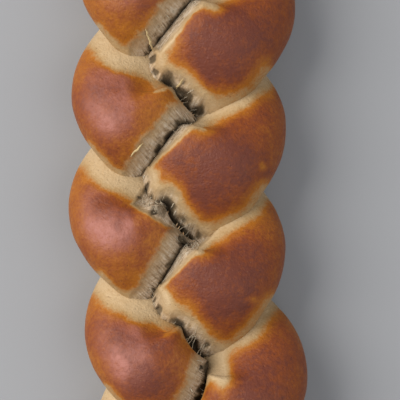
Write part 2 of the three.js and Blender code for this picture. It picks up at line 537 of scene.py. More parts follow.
def points_of(mesh: bpy.types.Mesh) -> np.ndarray:
    """Reads where a mesh's points are.

    Args:
        mesh: the mesh.

    Returns:
        One row of X, Y and Z for each point.
    """
    points = np.zeros(len(mesh.vertices) * 3, np.float32)
    mesh.vertices.foreach_get("co", points)
    return points.reshape(-1, 3).astype(float)


def move_points(mesh: bpy.types.Mesh, points: np.ndarray) -> None:
    """Puts a mesh's points at new places."""
    mesh.vertices.foreach_set("co", points.astype(np.float32).ravel())
    mesh.update()


def tree_of(mesh: bpy.types.Mesh) -> BVHTree:
    """A tree for casting rays at a mesh."""
    return BVHTree.FromPolygons([v.co for v in mesh.vertices], [f.vertices for f in mesh.polygons])


def hashed(cells: np.ndarray, seed: int) -> np.ndarray:
    """Gives each cell of a grid a steady random number.

    Args:
        cells: three whole numbers for each.
        seed: which numbers.

    Returns:
        Numbers from 0 to 1.
    """
    mixed = (cells * HASH_STEPS).sum(axis=1) + seed * HASH_SEED_STEP
    mixed = (mixed ^ (mixed >> 13)) * HASH_MIX
    return ((mixed ^ (mixed >> 16)) & HASH_TOP) / HASH_TOP


def noise(points: np.ndarray, size: float, seed: int, octaves: int = 1) -> np.ndarray:
    """Smooth random values from -1 to 1.

    Args:
        points: where.
        size: of the largest lumps.
        seed: which noise.
        octaves: how many finer layers it has, each half as large and half as strong.

    Returns:
        One value for each point.
    """
    total, strength, sum_of_strengths = 0.0, 1.0, 0.0
    for octave in range(octaves):
        scaled = points / size * 2**octave
        cell = np.floor(scaled).astype(np.int64)
        t = scaled - cell
        t = t * t * t * (t * (t * 6 - 15) + 10)
        value = 0.0
        for corner in range(8):
            offset = np.array([corner & 1, corner >> 1 & 1, corner >> 2])
            weight = np.prod(np.where(offset, t, 1 - t), axis=1)
            value = value + weight * hashed(cell + offset, seed + 31 * octave)
        total = total + strength * (2 * value - 1)
        sum_of_strengths += strength
        strength /= 2
    return total / sum_of_strengths


class Meeting(Enum):
    """How a lobe meets a neighbour, by the difference of their numbers."""

    EMERGES = -2
    LEADS = -1
    DIVES = 1
    TRAILS = 2


@dataclass
class LobeMap:
    """The loaf seen from above: which lobe shows at each place, and the lines where lobes meet.

    Lobes are numbered along the loaf from its middle. Odd ones lie on +X and even ones on -X. A lobe
    emerges from under the one two places before it, leads over the one before it, dives under the
    next one, and trails over the one after that. look_down fills in corner, where the map begins,
    heights and closed, each rope's heights as they are and with the hollows filled, shown, the lobe
    in each cell, and lines, the places where each pair of lobes meets.
    """

    cell: float = 0.7 * MM
    margin: float = 4 * MM
    far: float = 60 * MM  # the distance given to what has no such neighbour
    reach: float = 34 * MM  # the furthest that distances are measured
    lean: float = 0.35  # how far past its number's place a lobe's middle lies, in lobes
    nothing: int = 99  # stands for no lobe
    ball: float = 14 * MM  # radius of the ball that fills hollows
    ball_reach: float = 11 * MM  # how far from its lowest point the ball is used
    lines: dict = field(default_factory=dict)

    def look_down(self, ropes: list) -> None:
        """Finds which lobe shows where.

        Args:
            ropes: the rope objects.
        """
        corners = np.array([bound for rope in ropes for bound in rope.bound_box])[:, :2]
        self.corner = corners.min(axis=0) - self.margin
        columns, rows = np.ceil((corners.max(axis=0) + self.margin - self.corner) / self.cell).astype(int)
        heights = np.full((len(ropes), columns, rows), -1.0)
        lobes = np.full((len(ropes), columns, rows), self.nothing)
        for rope, piece in enumerate(ropes):
            mesh = piece.data
            tree = tree_of(mesh)
            along = read(mesh, "lobes")
            for i in range(columns):
                x = self.corner[0] + (i + 0.5) * self.cell
                for j in range(rows):
                    y = self.corner[1] + (j + 0.5) * self.cell
                    hit, _, face, _ = tree.ray_cast(Vector((x, y, SKY)), DOWN)
                    if hit is not None:
                        heights[rope, i, j] = hit.z
                        lobes[rope, i, j] = self.lobe_of(rope, along[mesh.polygons[face].vertices[0]])
        self.closed = [self._closed(height) for height in heights]
        self.heights = heights
        top = heights.argmax(axis=0)
        self.shown = np.take_along_axis(lobes, top[None], axis=0)[0]
        found: dict = {}
        for step in ((1, 0), (0, 1)):
            self._trace(heights, top, step, found)
        self.lines = {pair: np.array(spots) for pair, spots in found.items()}

    def _closed(self, height: np.ndarray) -> np.ndarray:
        """Fills the narrow hollows of a height map, as a rolling ball would leave them.

        Args:
            height: the map, below 0 where there is nothing.

        Returns:
            The filled map.
        """
        span = int(self.ball_reach / self.cell)
        steps = range(-span, span + 1)
        cap = {(i, j): (i * i + j * j) * self.cell**2 / (2 * self.ball) for i in steps for j in steps
               if i * i + j * j <= span * span}
        raised = np.full_like(height, -1.0)
        for (i, j), drop in cap.items():
            raised = np.maximum(raised, np.roll(height, (i, j), axis=(0, 1)) - drop)
        closed = np.full_like(height, 1.0)
        for (i, j), drop in cap.items():
            closed = np.minimum(closed, np.roll(raised, (i, j), axis=(0, 1)) + drop)
        return np.where(height < 0, height, closed)

    def sample(self, grid: np.ndarray, points: np.ndarray) -> np.ndarray:
        """Reads a map at each point, blended between its cells.

        Args:
            grid: the map.
            points: where.

        Returns:
            One value for each point.
        """
        spots = (points[:, :2] - self.corner) / self.cell - 0.5
        cells = np.floor(spots).astype(int)
        share = spots - cells
        total = np.zeros(len(points))
        for i in (0, 1):
            for j in (0, 1):
                weight = np.abs(1 - i - share[:, 0]) * np.abs(1 - j - share[:, 1])
                total += weight * grid[cells[:, 0] + i, cells[:, 1] + j]
        return total

    def _trace(self, heights: np.ndarray, top: np.ndarray, step: tuple, found: dict) -> None:
        """Collects the places where the lobe that shows changes from a cell to the next.

        Args:
            heights: each rope's height in each cell.
            top: the rope that shows.
            step: from a cell to the next.
            found: gets the places for each pair of lobes.
        """
        columns, rows = self.shown.shape
        here = (slice(0, columns - step[0]), slice(0, rows - step[1]))
        there = (slice(step[0], columns), slice(step[1], rows))
        both = (self.shown[here] != self.nothing) & (self.shown[there] != self.nothing)
        for i, j in np.argwhere(both & (self.shown[here] != self.shown[there])):
            beside = (i + step[0], j + step[1])
            first, second = top[i, j], top[beside]
            drop = heights[first, i, j] - heights[second, i, j]
            rise = heights[(second, *beside)] - heights[(first, *beside)]
            share = drop / max(drop + rise, 1e-9)
            spot = self.corner + (np.array([i, j]) + 0.5 + np.array(step) * share) * self.cell
            pair = tuple(sorted((int(self.shown[i, j]), int(self.shown[beside]))))
            found.setdefault(pair, []).append(spot)

    def _cells(self, points: np.ndarray) -> np.ndarray:
        """The cells in which points lie."""
        return np.floor((points[:, :2] - self.corner) / self.cell).astype(int)

    def lobe_of(self, rope: int, along: Any) -> Any:
        """The number of the lobe that a place on a rope belongs to."""
        return rope + 3 * np.round((2 * (along - self.lean) - rope) / 3).astype(int)

    def distance(self, rope: int, points: np.ndarray, along: np.ndarray, meeting: Meeting) -> np.ndarray:
        """How far points of a rope lie from the line where their lobe meets a neighbour.

        Args:
            rope: the rope's number.
            points: its points.
            along: their places in lobes.
            meeting: which neighbour.

        Returns:
            Metres, negative where the neighbour hides the point.
        """
        lobe = self.lobe_of(rope, along)
        cells = self._cells(points)
        shown = self.shown[cells[:, 0], cells[:, 1]]
        result = np.full(len(points), self.far)
        for number in np.unique(lobe):
            line = self.lines.get(tuple(sorted((int(number), int(number) + meeting.value))))
            if line is None:
                continue
            rows = np.flatnonzero(lobe == number)
            low, high = line.min(axis=0) - self.reach, line.max(axis=0) + self.reach
            spots = points[rows, :2]
            rows = rows[((spots > low) & (spots < high)).all(axis=1)]
            nearest = nearest_distance(points[rows, :2], line)
            hidden = shown[rows] == number + meeting.value
            result[rows] = np.where(hidden, -nearest, nearest)
        return result


def nearest_distance(points: np.ndarray, line: np.ndarray, chunk: int = 4000) -> np.ndarray:
    """Measures how far points lie from a line, in plan.

    Args:
        points: the points.
        line: places close together on the line.
        chunk: how many points are measured at a time.

    Returns:
        The distances.
    """
    result = np.zeros(len(points))
    for start in range(0, len(points), chunk):
        part = points[start:start + chunk]
        gaps = (part[:, None, 0] - line[None, :, 0]) ** 2 + (part[:, None, 1] - line[None, :, 1]) ** 2
        result[start:start + chunk] = np.sqrt(gaps.min(axis=1))
    return result


@dataclass
class RopeSurface:
    """A rope's points, and for each where it lies on the rope and how far from each edge of its lobe.

    out and up tell where a point lies in the rope's section, edge how far out it is on its lobe's
    leading side, past how far along from the lobe's own place, in lobes, and over whether the rope
    lies on top there. Tears fills in the last five: torn, how deep inside the torn crumb a point
    lies, in metres; pit, how much painted shade it gets in a pocket or the gap under a rim;
    rim, how much on the ragged rim; step, how much below the crust; and leads, how far from the
    edge that was torn off, in metres.
    """

    mesh: bpy.types.Mesh
    number: int
    plait: Plait
    map: LobeMap

    def __post_init__(self) -> None:
        """Reads the mesh."""
        self.points = points_of(self.mesh)
        self.lobes = read(self.mesh, "lobes")
        self.turn = read(self.mesh, "turn")
        self.place = self.plait.place(np, float(self.number), self.lobes)
        self.out, up = section(np, self.plait, self.place, self.turn)
        self.up = up * read(self.mesh, "radial")
        lobe = self.map.lobe_of(self.number, self.lobes)
        self.right = (lobe % 2).astype(float)
        self.past = self.lobes - lobe / 2
        self.away = {kind: self.map.distance(self.number, self.points, self.lobes, kind) for kind in Meeting}
        flat = np.zeros(len(self.lobes))
        self.forward = np.stack([self.place.forward_x, self.place.forward_y, flat], axis=1)
        side = np.stack([self.place.forward_y, -self.place.forward_x, flat], axis=1)
        self.leading = side * np.where(self.right > 0, 1, -1)[:, None]
        self.edge = self.out * np.where(self.right > 0, 1, -1)
        self.over = self.plait.over(np, self.place.wave) * smootherstep(np, self.past, 0.2, 0.45)
        self.top = smootherstep(np, self.up, -0.1, 0.25)
        along, around = self.lobes * ROPE_PER_LOBE, self.turn * ROPE_RADIUS
        self.chart = np.stack([along, around, flat + 0.5 * self.number], axis=1)
        self.torn = self.pit = self.rim = self.step = self.leads = flat

    def keep(self, **values: np.ndarray) -> None:
        """Moves the mesh's points to their places and stores values under names."""
        move_points(self.mesh, self.points)
        for name, value in values.items():
            write(self.mesh, name, value)


@dataclass(frozen=True)
class Hollow:
    """An oval pocket in the torn crumb, in mm, and how much shade is painted in it."""

    x: float
    y: float
    half_width: float
    half_length: float
    depth: float
    painted_shade: float


# The large pockets, placed in the loaf's frame, each with the shade painted in it
HOLLOWS = (
    Hollow(-7.6, -13.9, 4.0, 2.6, 1.2, 0.42),
    Hollow(-3.1, -17.2, 3.0, 3.0, 1.4, 0.55),
    Hollow(-8.8, 54.0, 3.9, 3.5, 2.6, 0.62),
    Hollow(-0.5, 46.0, 3.5, 3.7, 2.6, 0.66),
    Hollow(4.8, 39.9, 2.8, 2.3, 3, 0.85),
    Hollow(-15.3, 63.3, 1.6, 1.8, 2, 0.8),
    Hollow(-14.2, 57.4, 1.6, 1.8, 2, 0.75),
    Hollow(-23.8, 4.5, 1.8, 3.7, 2.5, 0.62),
    Hollow(-17.3, -6.2, 1.6, 1.4, 2, 0.85),
    Hollow(-13.2, -4.6, 3.7, 2.8, 2.2, 0.5),
    Hollow(-5.5, -19.9, 1.8, 2.8, 2.5, 0.75),
    Hollow(-8.4, -10.7, 2.3, 1.8, 1.5, 0.45),
    Hollow(-17.1, -50.9, 1.8, 2.8, 2.2, 0.75),
    Hollow(-13.7, -57.8, 2.8, 2.3, 2, 0.6),
    Hollow(-3.0, -65.9, 2.8, 2.3, 2.2, 0.62),
    Hollow(5.2, -78.1, 3.0, 5.1, 6, 0.72),
    Hollow(-16.5, 68.9, 1.4, 1.8, 2, 0.8),
)


@dataclass(frozen=True)
class Ledge:
    """A part of a lobe beside its leading edge where the crust was torn off too.

    It lies left of the way from its start to its end, in mm, from a share of that way onwards.
    """

    lobe: int
    start: tuple
    end: tuple
    first: float


# The ledges, in the loaf's frame
LEDGES = (
    Ledge(-3, (-12.0, 66.1), (8.3, 88.1), 0.0),
    Ledge(-2, (-21.1, 64.6), (1.6, 38.5), 0.25),
    Ledge(-1, (-21.1, 12.0), (8.4, 39.1), 0.1),
    Ledge(0, (-32.3, 2.5), (-7.5, -14.7), 0.25),
    Ledge(1, (-16.6, -40.7), (12.4, -13.6), 0.05),
    Ledge(2, (-16.1, -51.1), (4.6, -69.1), 0.0),
)


@dataclass
class Tears:
    """Shapes the smooth ropes as the oven did: ragged rims, torn flanks beside them and a swollen crust."""

    left_width: float = 8.2 * MM  # of the torn flanks on the left lobes
    right_width: float = 7.5 * MM  # of those on the right lobes
    raggedness: float = 0.45  # how much the width varies
    step_depth: float = 0.5 * MM  # of the step down from the crust
    flank_depth: float = 1.3 * MM  # how much deeper the flank gets across its width
    gap_depth: float = 4.0 * MM
    gap_reach: float = 1.6 * MM
    pocket: float = 4.4 * MM  # size of the small pockets
    pocket_depth: float = 3.2 * MM
    rim_level: float = 0.36  # the rim's height, as a share of the rope's half height
    undercut: float = 3.1 * MM
    base_step: float = 0.2 * MM  # by how much the flat undersides of the ropes differ
    smoothings: int = 40
    roughness: float = 0.7 * MM  # height of the torn crumb's fibres, and of its lumps
    ledge_depth: float = 2.0 * MM
    ledge_reach: float = 12 * MM  # how far in from the leading edge a ledge may lie
    lowest: float = 10 * MM  # below this height nothing is torn

    def shape(self, rope: RopeSurface) -> None:
        """Shapes one rope.

        Args:
            rope: its surface, which also gets torn, pit, rim, step and leads.
        """
        self._fill_folds(rope)
        self._cut_rim(rope)
        self._smooth_folds(rope)
        self._tear_flank(rope)
        self._swell(rope)
        self._sink_hollows(rope)
        rope.points[:, 2] = np.maximum(rope.points[:, 2], self.base_step * rope.number)

    def _fill_folds(self, rope: RopeSurface) -> None:
        """Fills the narrow folds inside the bends.

        Args:
            rope: its surface.
        """
        closed = rope.map.sample(rope.map.closed[rope.number], rope.points)
        height = rope.map.sample(rope.map.heights[rope.number], rope.points)
        rope.points[:, 2] += (closed - height) * smootherstep(np, rope.up, -0.3, 0.1)
        fold = (np.abs(rope.past) < 0.4) & (rope.edge > 0.45) & (rope.up > 0.1)
        rope.points[:, 2] = np.where(fold, np.maximum(rope.points[:, 2], closed), rope.points[:, 2])

    def _cut_rim(self, rope: RopeSurface) -> None:
        """Undercuts the leading edge, which leaves a thin ragged rim over a dark gap.

        Args:
            rope: its surface.
        """
        ragged = noise(rope.chart * [1, 0, 1], 6 * MM, seed=3, octaves=4)
        rim = self.rim_level + 0.12 * ragged
        under = smootherstep(np, rim - rope.up, -0.02, 0.07) * (rope.up > -0.2)
        under = under * smootherstep(np, rope.edge, 0.35, 0.6) * rope.over
        lip = np.exp(-(((rope.up - rim - 0.06) / 0.08) ** 2))
        lip = lip * rope.over * smootherstep(np, rope.edge, 0.5, 0.9)
        shift = lip * (0.3 + 1.3 * ragged) * MM - under * self.undercut
        rope.points += rope.leading * shift[:, None]
        rope.rim = lip

    def _smooth_folds(self, rope: RopeSurface) -> None:
        """Evens out the creases inside the bends.

        Args:
            rope: its surface.
        """
        edges = np.zeros(len(rope.mesh.edges) * 2, np.int32)
        rope.mesh.edges.foreach_get("vertices", edges)
        ends = edges.reshape(-1, 2)
        weight = 1 - smootherstep(np, np.abs(rope.past - 0.08), 0.25, 0.5)
        weight = weight * smootherstep(np, rope.edge, 0.1, 0.4) * smootherstep(np, rope.up, -0.4, -0.1)
        ends = ends[(weight[ends] > 0).any(axis=1)]
        here, there = np.concatenate([ends[:, 0], ends[:, 1]]), np.concatenate([ends[:, 1], ends[:, 0]])
        count = len(weight)
        neighbours = np.maximum(np.bincount(here, minlength=count), 1)
        for _ in range(self.smoothings):
            for axis in range(3):
                mean = np.bincount(here, rope.points[there, axis], minlength=count) / neighbours
                rope.points[:, axis] += weight * (mean - rope.points[:, axis])

    def _sink_hollows(self, rope: RopeSurface) -> None:
        """Sinks the large pockets and sets the shade painted in them.

        Args:
            rope: its surface.
        """
        ragged = 1 + 0.7 * noise(rope.points, 3.5 * MM, seed=71, octaves=3)
        for hollow in HOLLOWS:
            off_x = (rope.points[:, 0] - hollow.x * MM) / (hollow.half_width * MM)
            off_y = (rope.points[:, 1] - hollow.y * MM) / (hollow.half_length * MM)
            inside = smootherstep(np, 1.2 - np.hypot(off_x, off_y) * ragged, 0.0, 0.6) * (rope.up > 0)
            rope.points[:, 2] -= hollow.depth * MM * inside * smootherstep(np, rope.torn, -3 * MM, 0.5 * MM)
            # Painted shade: each pocket gets dark colour for the shade inside it.
            rope.pit = np.maximum(rope.pit, hollow.painted_shade * inside * (rope.torn > -1 * MM))

    def _ledge(self, rope: RopeSurface) -> np.ndarray:
        """Measures how far inside a ledge each point lies.

        Args:
            rope: its surface.

        Returns:
            Metres, negative outside.
        """
        lobe = rope.map.lobe_of(rope.number, rope.lobes)
        inside = np.full(len(lobe), -self.ledge_reach)
        near = rope.away[Meeting.LEADS] < self.ledge_reach
        ragged = 0.9 * MM * noise(rope.points, 4 * MM, seed=73, octaves=3)
        for ledge in LEDGES:
            start, end = np.multiply((ledge.start, ledge.end), MM)
            way = end - start
            length = np.hypot(*way)
            off = rope.points[:, :2] - start
            along = off @ way / length
            across = off @ np.array([-way[1], way[0]]) / length
            deep = np.minimum(np.minimum(across, along - ledge.first * length), length - along) + ragged
            inside = np.where((lobe == ledge.lobe) & near, np.maximum(inside, deep), inside)
        return inside

    def _tear_flank(self, rope: RopeSurface) -> None:
        """Sinks the flank that was torn off the next rope, with fibres, pockets and a deep gap, and sets the
        shade painted in the pockets and the gap.

        Args:
            rope: its surface.
        """
        dive = rope.away[Meeting.DIVES]
        width = self.right_width * rope.right + self.left_width * (1 - rope.right)
        rope.torn = width * (1 + self.raggedness * noise(rope.points, 13 * MM, seed=5, octaves=4)) - dive
        rope.torn = np.minimum(rope.torn, rope.points[:, 2] - self.lowest)
        share = np.clip(rope.torn / width, 0, 1)
        ledge = self._ledge(rope)
        step = smootherstep(np, rope.torn, -0.4 * MM, 1.0 * MM) * rope.top
        fibre = noise(rope.chart * [0.18, 1, 1], 1.5 * MM, seed=7, octaves=2)
        lumps = noise(rope.chart, 5 * MM, seed=9, octaves=3)
        pockets = np.zeros(len(share))
        rows = np.flatnonzero(step > 0)
        near, second = cell_distances(rope.chart[rows] * [0.8, 1, 1], self.pocket, 12)
        pockets[rows] = smootherstep(np, second - near, 0.12, 0.55)
        start = 0.1 + 0.5 * (1 - rope.right)
        pockets *= smootherstep(np, share, start, start + 0.35)
        gap = np.exp(-np.maximum(dive, 0) / self.gap_reach) * rope.top
        gap = gap * smootherstep(np, rope.points[:, 2], 0.8 * self.lowest, 1.5 * self.lowest)
        sink = self.step_depth + self.flank_depth * share - self.roughness * (fibre + lumps)
        sink = sink + self.pocket_depth * pockets * (0.6 + 0.4 * lumps)
        on_ledge = smootherstep(np, ledge, -0.5 * MM, 0.6 * MM) * rope.top * (1 - step)
        ledge_sink = self.ledge_depth + 0.2 * np.maximum(ledge, 0) - 1.0 * MM * lumps - 0.4 * MM * fibre
        rope.points[:, 2] -= step * sink + self.gap_depth * gap + on_ledge * ledge_sink
        rope.torn = np.maximum(rope.torn, np.minimum(ledge * 3, 6 * MM))
        rope.leads = np.minimum(rope.away[Meeting.LEADS], -ledge)
        rope.step = np.maximum(step, on_ledge)
        # Painted shade: dark colour for the pockets, the ledges and most of all the gap under the rim, with
        # the fibres' streaks in it.
        rope.pit = step * (0.6 * pockets - 0.25 * fibre) + on_ledge * (0.1 + 0.3 * lumps) + 1.1 * gap
        rope.pit = np.clip(rope.pit, 0, 1)

    def _swell(self, rope: RopeSurface) -> None:
        """Gives the crust its slow uneven swellings and its small lumps.

        Args:
            rope: its surface.
        """
        swell = 0.6 * MM * noise(rope.points, 24 * MM, seed=17, octaves=2)
        swell = swell + 0.12 * MM * noise(rope.points, 4 * MM, seed=19, octaves=2)
        rope.points[:, 2] += swell * (1 - rope.step) * smootherstep(np, rope.up, 0.0, 0.5)
        wobble = 0.4 * MM * noise(rope.points, 15 * MM, seed=23, octaves=2)
        rope.points += rope.leading * (rope.edge * wobble)[:, None]


@dataclass(frozen=True)
class Spot:
    """A patch of the crust, in mm, that browned more or less than the rest."""

    x: float
    y: float
    radius: float
    browner: float
    stretch: float = 1.0


# Patches in the loaf's frame that browned more, and some that stayed pale
SPOTS = (
    Spot(3.2, 72.1, 4.5, 0.22),
    Spot(17.6, 68.0, 11, 0.14),
    Spot(15.4, 9.0, 9, 0.12),
    Spot(-20.0, -12.0, 7, 0.08, 0.7),
    Spot(-9.5, -14.2, 3.5, 0.30),
    Spot(11.4, -42.0, 9, 0.12),
    Spot(-13.4, -66.4, 6.5, 0.16),
    Spot(-25.1, -82.3, 9, 0.24),
    Spot(-29.0, 33.0, 6, 0.10),
    Spot(15.7, -74.6, 6, 0.12, 1.5),
    Spot(32.3, 13.3, 1.6, -0.40, 1.3),
    Spot(26.1, -46.5, 2.2, -0.32),
    Spot(11.0, -79.9, 5.5, -0.80, 1.5),
    Spot(-7.3, 68.8, 5.0, -0.32, 1.6),
    Spot(13.2, 46.9, 7.0, -0.16, 0.6),
    Spot(-19.3, 9.0, 5.5, -0.40),
    Spot(-14.8, -45.0, 5.5, -0.40),
)


@dataclass(frozen=True)
class Side:
    """How the lobes on one side of the loaf browned, with painted shade on the right side. The lengths are
    in metres.

    The crown's middle is given as RopeSurface gives past and edge.
    """

    crust: float  # how brown the open crust is
    emerging_from: float  # from here to there the crust browns, from where the lobe emerges
    emerging_to: float
    tearing_to: float  # from the torn crumb to here it browns
    trailing_to: float  # and from where the lobe trails over another to here
    beside_torn: float  # how brown it is beside the torn crumb, as a share
    crown_past: float
    crown_edge: float
    crown_along: float  # how far the crown reaches along the rope
    crown_across: float


# The right lobes' crust is browner than the left's: partly real browning, partly painted shade on the side
# that faces away from the light.
LEFT = Side(
    crust=0.66, emerging_from=1.5 * MM, emerging_to=16 * MM, tearing_to=5 * MM, trailing_to=5 * MM,
    beside_torn=0.74, crown_past=0.05, crown_edge=-0.25, crown_along=17 * MM, crown_across=13 * MM,
)
RIGHT = Side(
    crust=0.78, emerging_from=-2.5 * MM, emerging_to=12 * MM, tearing_to=10 * MM, trailing_to=9 * MM,
    beside_torn=0.35, crown_past=0.26, crown_edge=0.0, crown_along=21 * MM, crown_across=14 * MM,
)


@dataclass
class Oven:
    """Browns the crust: most on the crowns, and little in the folds and where the ropes pulled apart. It
    also finds where the painted sheen goes.
    """

    crown: float = 0.27  # how much browner the crowns get
    base: float = 0.2  # how brown the underside gets
    spots: tuple = ()

    def brown(self, rope: RopeSurface) -> np.ndarray:
        """How brown a rope is.

        Args:
            rope: its shaped surface.

        Returns:
            From 0, pale, to 1, nearly burnt.
        """
        side = self._side_of(rope)
        wander = noise(rope.points, 12 * MM, seed=37, octaves=4)
        emerges = rope.away[Meeting.EMERGES] + 2.5 * MM * wander
        emerging = smootherstep(np, emerges, side.emerging_from, side.emerging_to)
        tearing = smootherstep(np, 2.5 * MM * wander - rope.torn, -1.5 * MM, side.tearing_to)
        trailing = smootherstep(np, rope.away[Meeting.TRAILS] + 1.5 * MM * wander, 0, side.trailing_to)
        leading = smootherstep(np, rope.leads + 0.8 * MM * wander, 0.2 * MM, 2.2 * MM)
        low = smootherstep(np, rope.points[:, 2], 1 * MM, 30 * MM)
        torn_share = side.beside_torn + (1 - side.beside_torn) * tearing
        bake = side.crust * (0.5 + 0.5 * low) * (0.12 + 0.88 * emerging)
        bake = bake * torn_share * (0.45 + 0.55 * trailing) * (0.6 + 0.4 * leading)
        crown = self._near_crown(rope, wander)
        cloudy = 0.16 * noise(rope.points, 15 * MM, seed=29, octaves=3)
        bake = bake + (self.crown * crown + cloudy) * smootherstep(np, bake, 0.1, 0.6)
        for spot in self.spots:
            off_x = (rope.points[:, 0] - spot.x * MM) / (spot.radius * MM)
            off_y = (rope.points[:, 1] - spot.y * MM) / (spot.radius * MM * spot.stretch)
            near = np.exp(-(off_x**2 + off_y**2) * (1 + 0.5 * wander))
            bake = bake + spot.browner * near * (rope.up > 0.2)
        base = smootherstep(np, rope.points[:, 2], 1 * MM, 12 * MM)
        return np.clip(self.base + (bake - self.base) * base, 0, 1)

    def _side_of(self, rope: RopeSurface) -> Side:
        """The values of each point's side, as arrays."""
        pairs = zip(astuple(LEFT), astuple(RIGHT))
        return Side(*(np.where(rope.right > 0, right, left) for left, right in pairs))

    def _near_crown(self, rope: RopeSurface, wander: np.ndarray) -> np.ndarray:
        """Measures how near its lobe's crown each point lies.

        Args:
            rope: its shaped surface.
            wander: what makes the crown's outline uneven.

        Returns:
            1 at the crown, falling to 0 around it.
        """
        side = self._side_of(rope)
        off_along = (rope.past - side.crown_past) * ROPE_PER_LOBE / side.crown_along
        off_across = (rope.edge - side.crown_edge) * rope.place.half_width / side.crown_across
        return np.exp(-(off_along**2 + off_across**2) * (1 + 0.6 * wander)) * (rope.up > 0)

    def bloom(self, rope: RopeSurface, bake: np.ndarray) -> np.ndarray:
        """Finds where a painted sheen goes on the brown crust: on the crowns of the left lobes, which face
        the light.

        Args:
            rope: its shaped surface.
            bake: how brown it is.

        Returns:
            How strong the painted sheen is.
        """
        cloudy = np.clip(0.6 + 0.9 * noise(rope.points, 14 * MM, seed=67, octaves=3), 0, 1)
        middling = smootherstep(np, bake, 0.55, 0.8) * (1 - 0.7 * smootherstep(np, bake, 0.85, 1.0))
        near = smootherstep(np, self._near_crown(rope, 0 * bake), 0.15, 0.8)
        # Painted sheen: only the left lobes, which face the light, get it.
        return middling * cloudy * near * 1.3 * (1 - rope.right)


@dataclass
class Slivers:
    """Tapered slivers on the ropes. Each kind chooses where they are."""

    name: str
    width: float  # as a share of the length
    depth: float  # as a share of the length
    length: float
    seed: int

    def scatter(self, rope: RopeSurface, draw: np.random.Generator) -> tuple:
        """Chooses the slivers of one rope.

        Args:
            rope: its shaped surface.
            draw: gives the random numbers.

        Returns:
            Their places, directions and lengths.
        """
        raise NotImplementedError

    def build(self, ropes: list, material: bpy.types.Material) -> bpy.types.Object:
        """Makes the slivers.

        Args:
            ropes: the shaped surfaces.
            material: what they are made of.

        Returns:
            One mesh object.
        """
        draw = np.random.default_rng(self.seed)
        parts = zip(*[self.scatter(rope, draw) for rope in ropes])
        start = point_cloud(self.name + "_places", *(np.concatenate(part) for part in parts))
        return run_tree(self.name, self._tree(material), {}, start)

    def _tree(self, material: bpy.types.Material) -> bpy.types.NodeTree:
        """Builds the tree that puts a tapered, crooked sliver on each loose point.

        Args:
            material: what the slivers are made of.

        Returns:
            The tree.
        """
        tree, start, sizes = piece_tree(self.name, {"width": self.width, "depth": self.depth})
        points = tree.val("GeometryNodeMeshToPoints", inputs={"Mesh": start})
        cone = tree.val("GeometryNodeMeshCone", inputs={
            "Vertices": 6, "Side Segments": 4, "Radius Top": 0.08, "Radius Bottom": 0.5, "Depth": 1.0})
        way = tree.val("GeometryNodeInputNamedAttribute", {"data_type": "FLOAT_VECTOR"}, {"Name": "way"})
        size = tree.val("GeometryNodeInputNamedAttribute", {"data_type": "FLOAT"}, {"Name": "size"})
        turn = tree.val("FunctionNodeAlignRotationToVector", {"axis": "Z"}, {"Vector": way})
        uneven = tree.val("FunctionNodeRandomValue", {"data_type": "FLOAT"}, {
            2: 0.6, 3: 1.4, "Seed": self.seed}, output=1)
        scale = tree.val("ShaderNodeCombineXYZ", inputs={
            0: size * sizes["width"] * uneven, 1: size * sizes["depth"] * uneven, 2: size})
        mesh = tree.val("GeometryNodeInstanceOnPoints", inputs={
            "Points": points, "Instance": cone, "Rotation": turn, "Scale": scale})
        mesh = tree.val("GeometryNodeRealizeInstances", inputs={"Geometry": mesh})
        wander = tree.vector("SCALE", wandering(tree, 700.0), 1.1 * MM)
        mesh = tree.val("GeometryNodeSetPosition", inputs={"Geometry": mesh, "Offset": wander})
        return finish_tree(tree, mesh, material)


@dataclass
class CrustTeeth(Slivers):
    """The thin ragged teeth of crust that stick out over the gaps along every leading edge."""

    name: str = "crust_teeth"
    width: float = 0.42
    depth: float = 0.3
    length: float = 1.5 * MM
    seed: int = 41
    spacing: float = 0.9 * MM
    share: float = 0.6  # of the places along the edge that have a tooth

    def scatter(self, rope: RopeSurface, draw: np.random.Generator) -> tuple:
        """Chooses the teeth of one rope.

        Args:
            rope: its shaped surface.
            draw: gives the random numbers.

        Returns:
            Their places, directions and lengths.
        """
        rows = rim_rows(rope, self.spacing)
        chance = self.share * (0.6 + 0.8 * noise(rope.points[rows], 12 * MM, seed=43))
        rows = rows[draw.random(len(rows)) < chance]
        spots = rope.points[rows] - rope.leading[rows] * 0.5 * MM
        ways = rope.leading[rows] + [0, 0, -0.1] + draw.normal(0, 0.28, (len(rows), 3))
        return spots, ways, self.length * draw.uniform(0.5, 1.5, len(rows))


@dataclass
class CrumbShreds(Slivers):
    """Slivers of dough that lie on the torn flanks, along the fibres."""

    name: str = "crumb_shreds"
    width: float = 0.16
    depth: float = 0.1
    length: float = 2.6 * MM
    seed: int = 53
    count: int = 266  # on each rope
    reach: float = 3.2  # how far from the loaf's middle, in lobes

    def scatter(self, rope: RopeSurface, draw: np.random.Generator) -> tuple:
        """Chooses the shreds of one rope.

        Args:
            rope: its shaped surface.
            draw: gives the random numbers.

        Returns:
            Their places, directions and lengths.
        """
        torn = (rope.torn > 1.2 * MM) & (rope.away[Meeting.DIVES] > 0.3 * MM) & (rope.up > 0)
        rows = np.flatnonzero(torn & (np.abs(rope.lobes) < self.reach))
        rows = draw.choice(rows, min(self.count, len(rows)), replace=False)
        tilt = draw.normal(0, 0.3, (len(rows), 3))
        ways = rope.forward[rows] * draw.choice([-1, 1], len(rows))[:, None] + tilt
        spots = rope.points[rows] + [0, 0, 0.05 * MM]
        return spots, ways, self.length * draw.uniform(0.35, 1.2, len(rows))


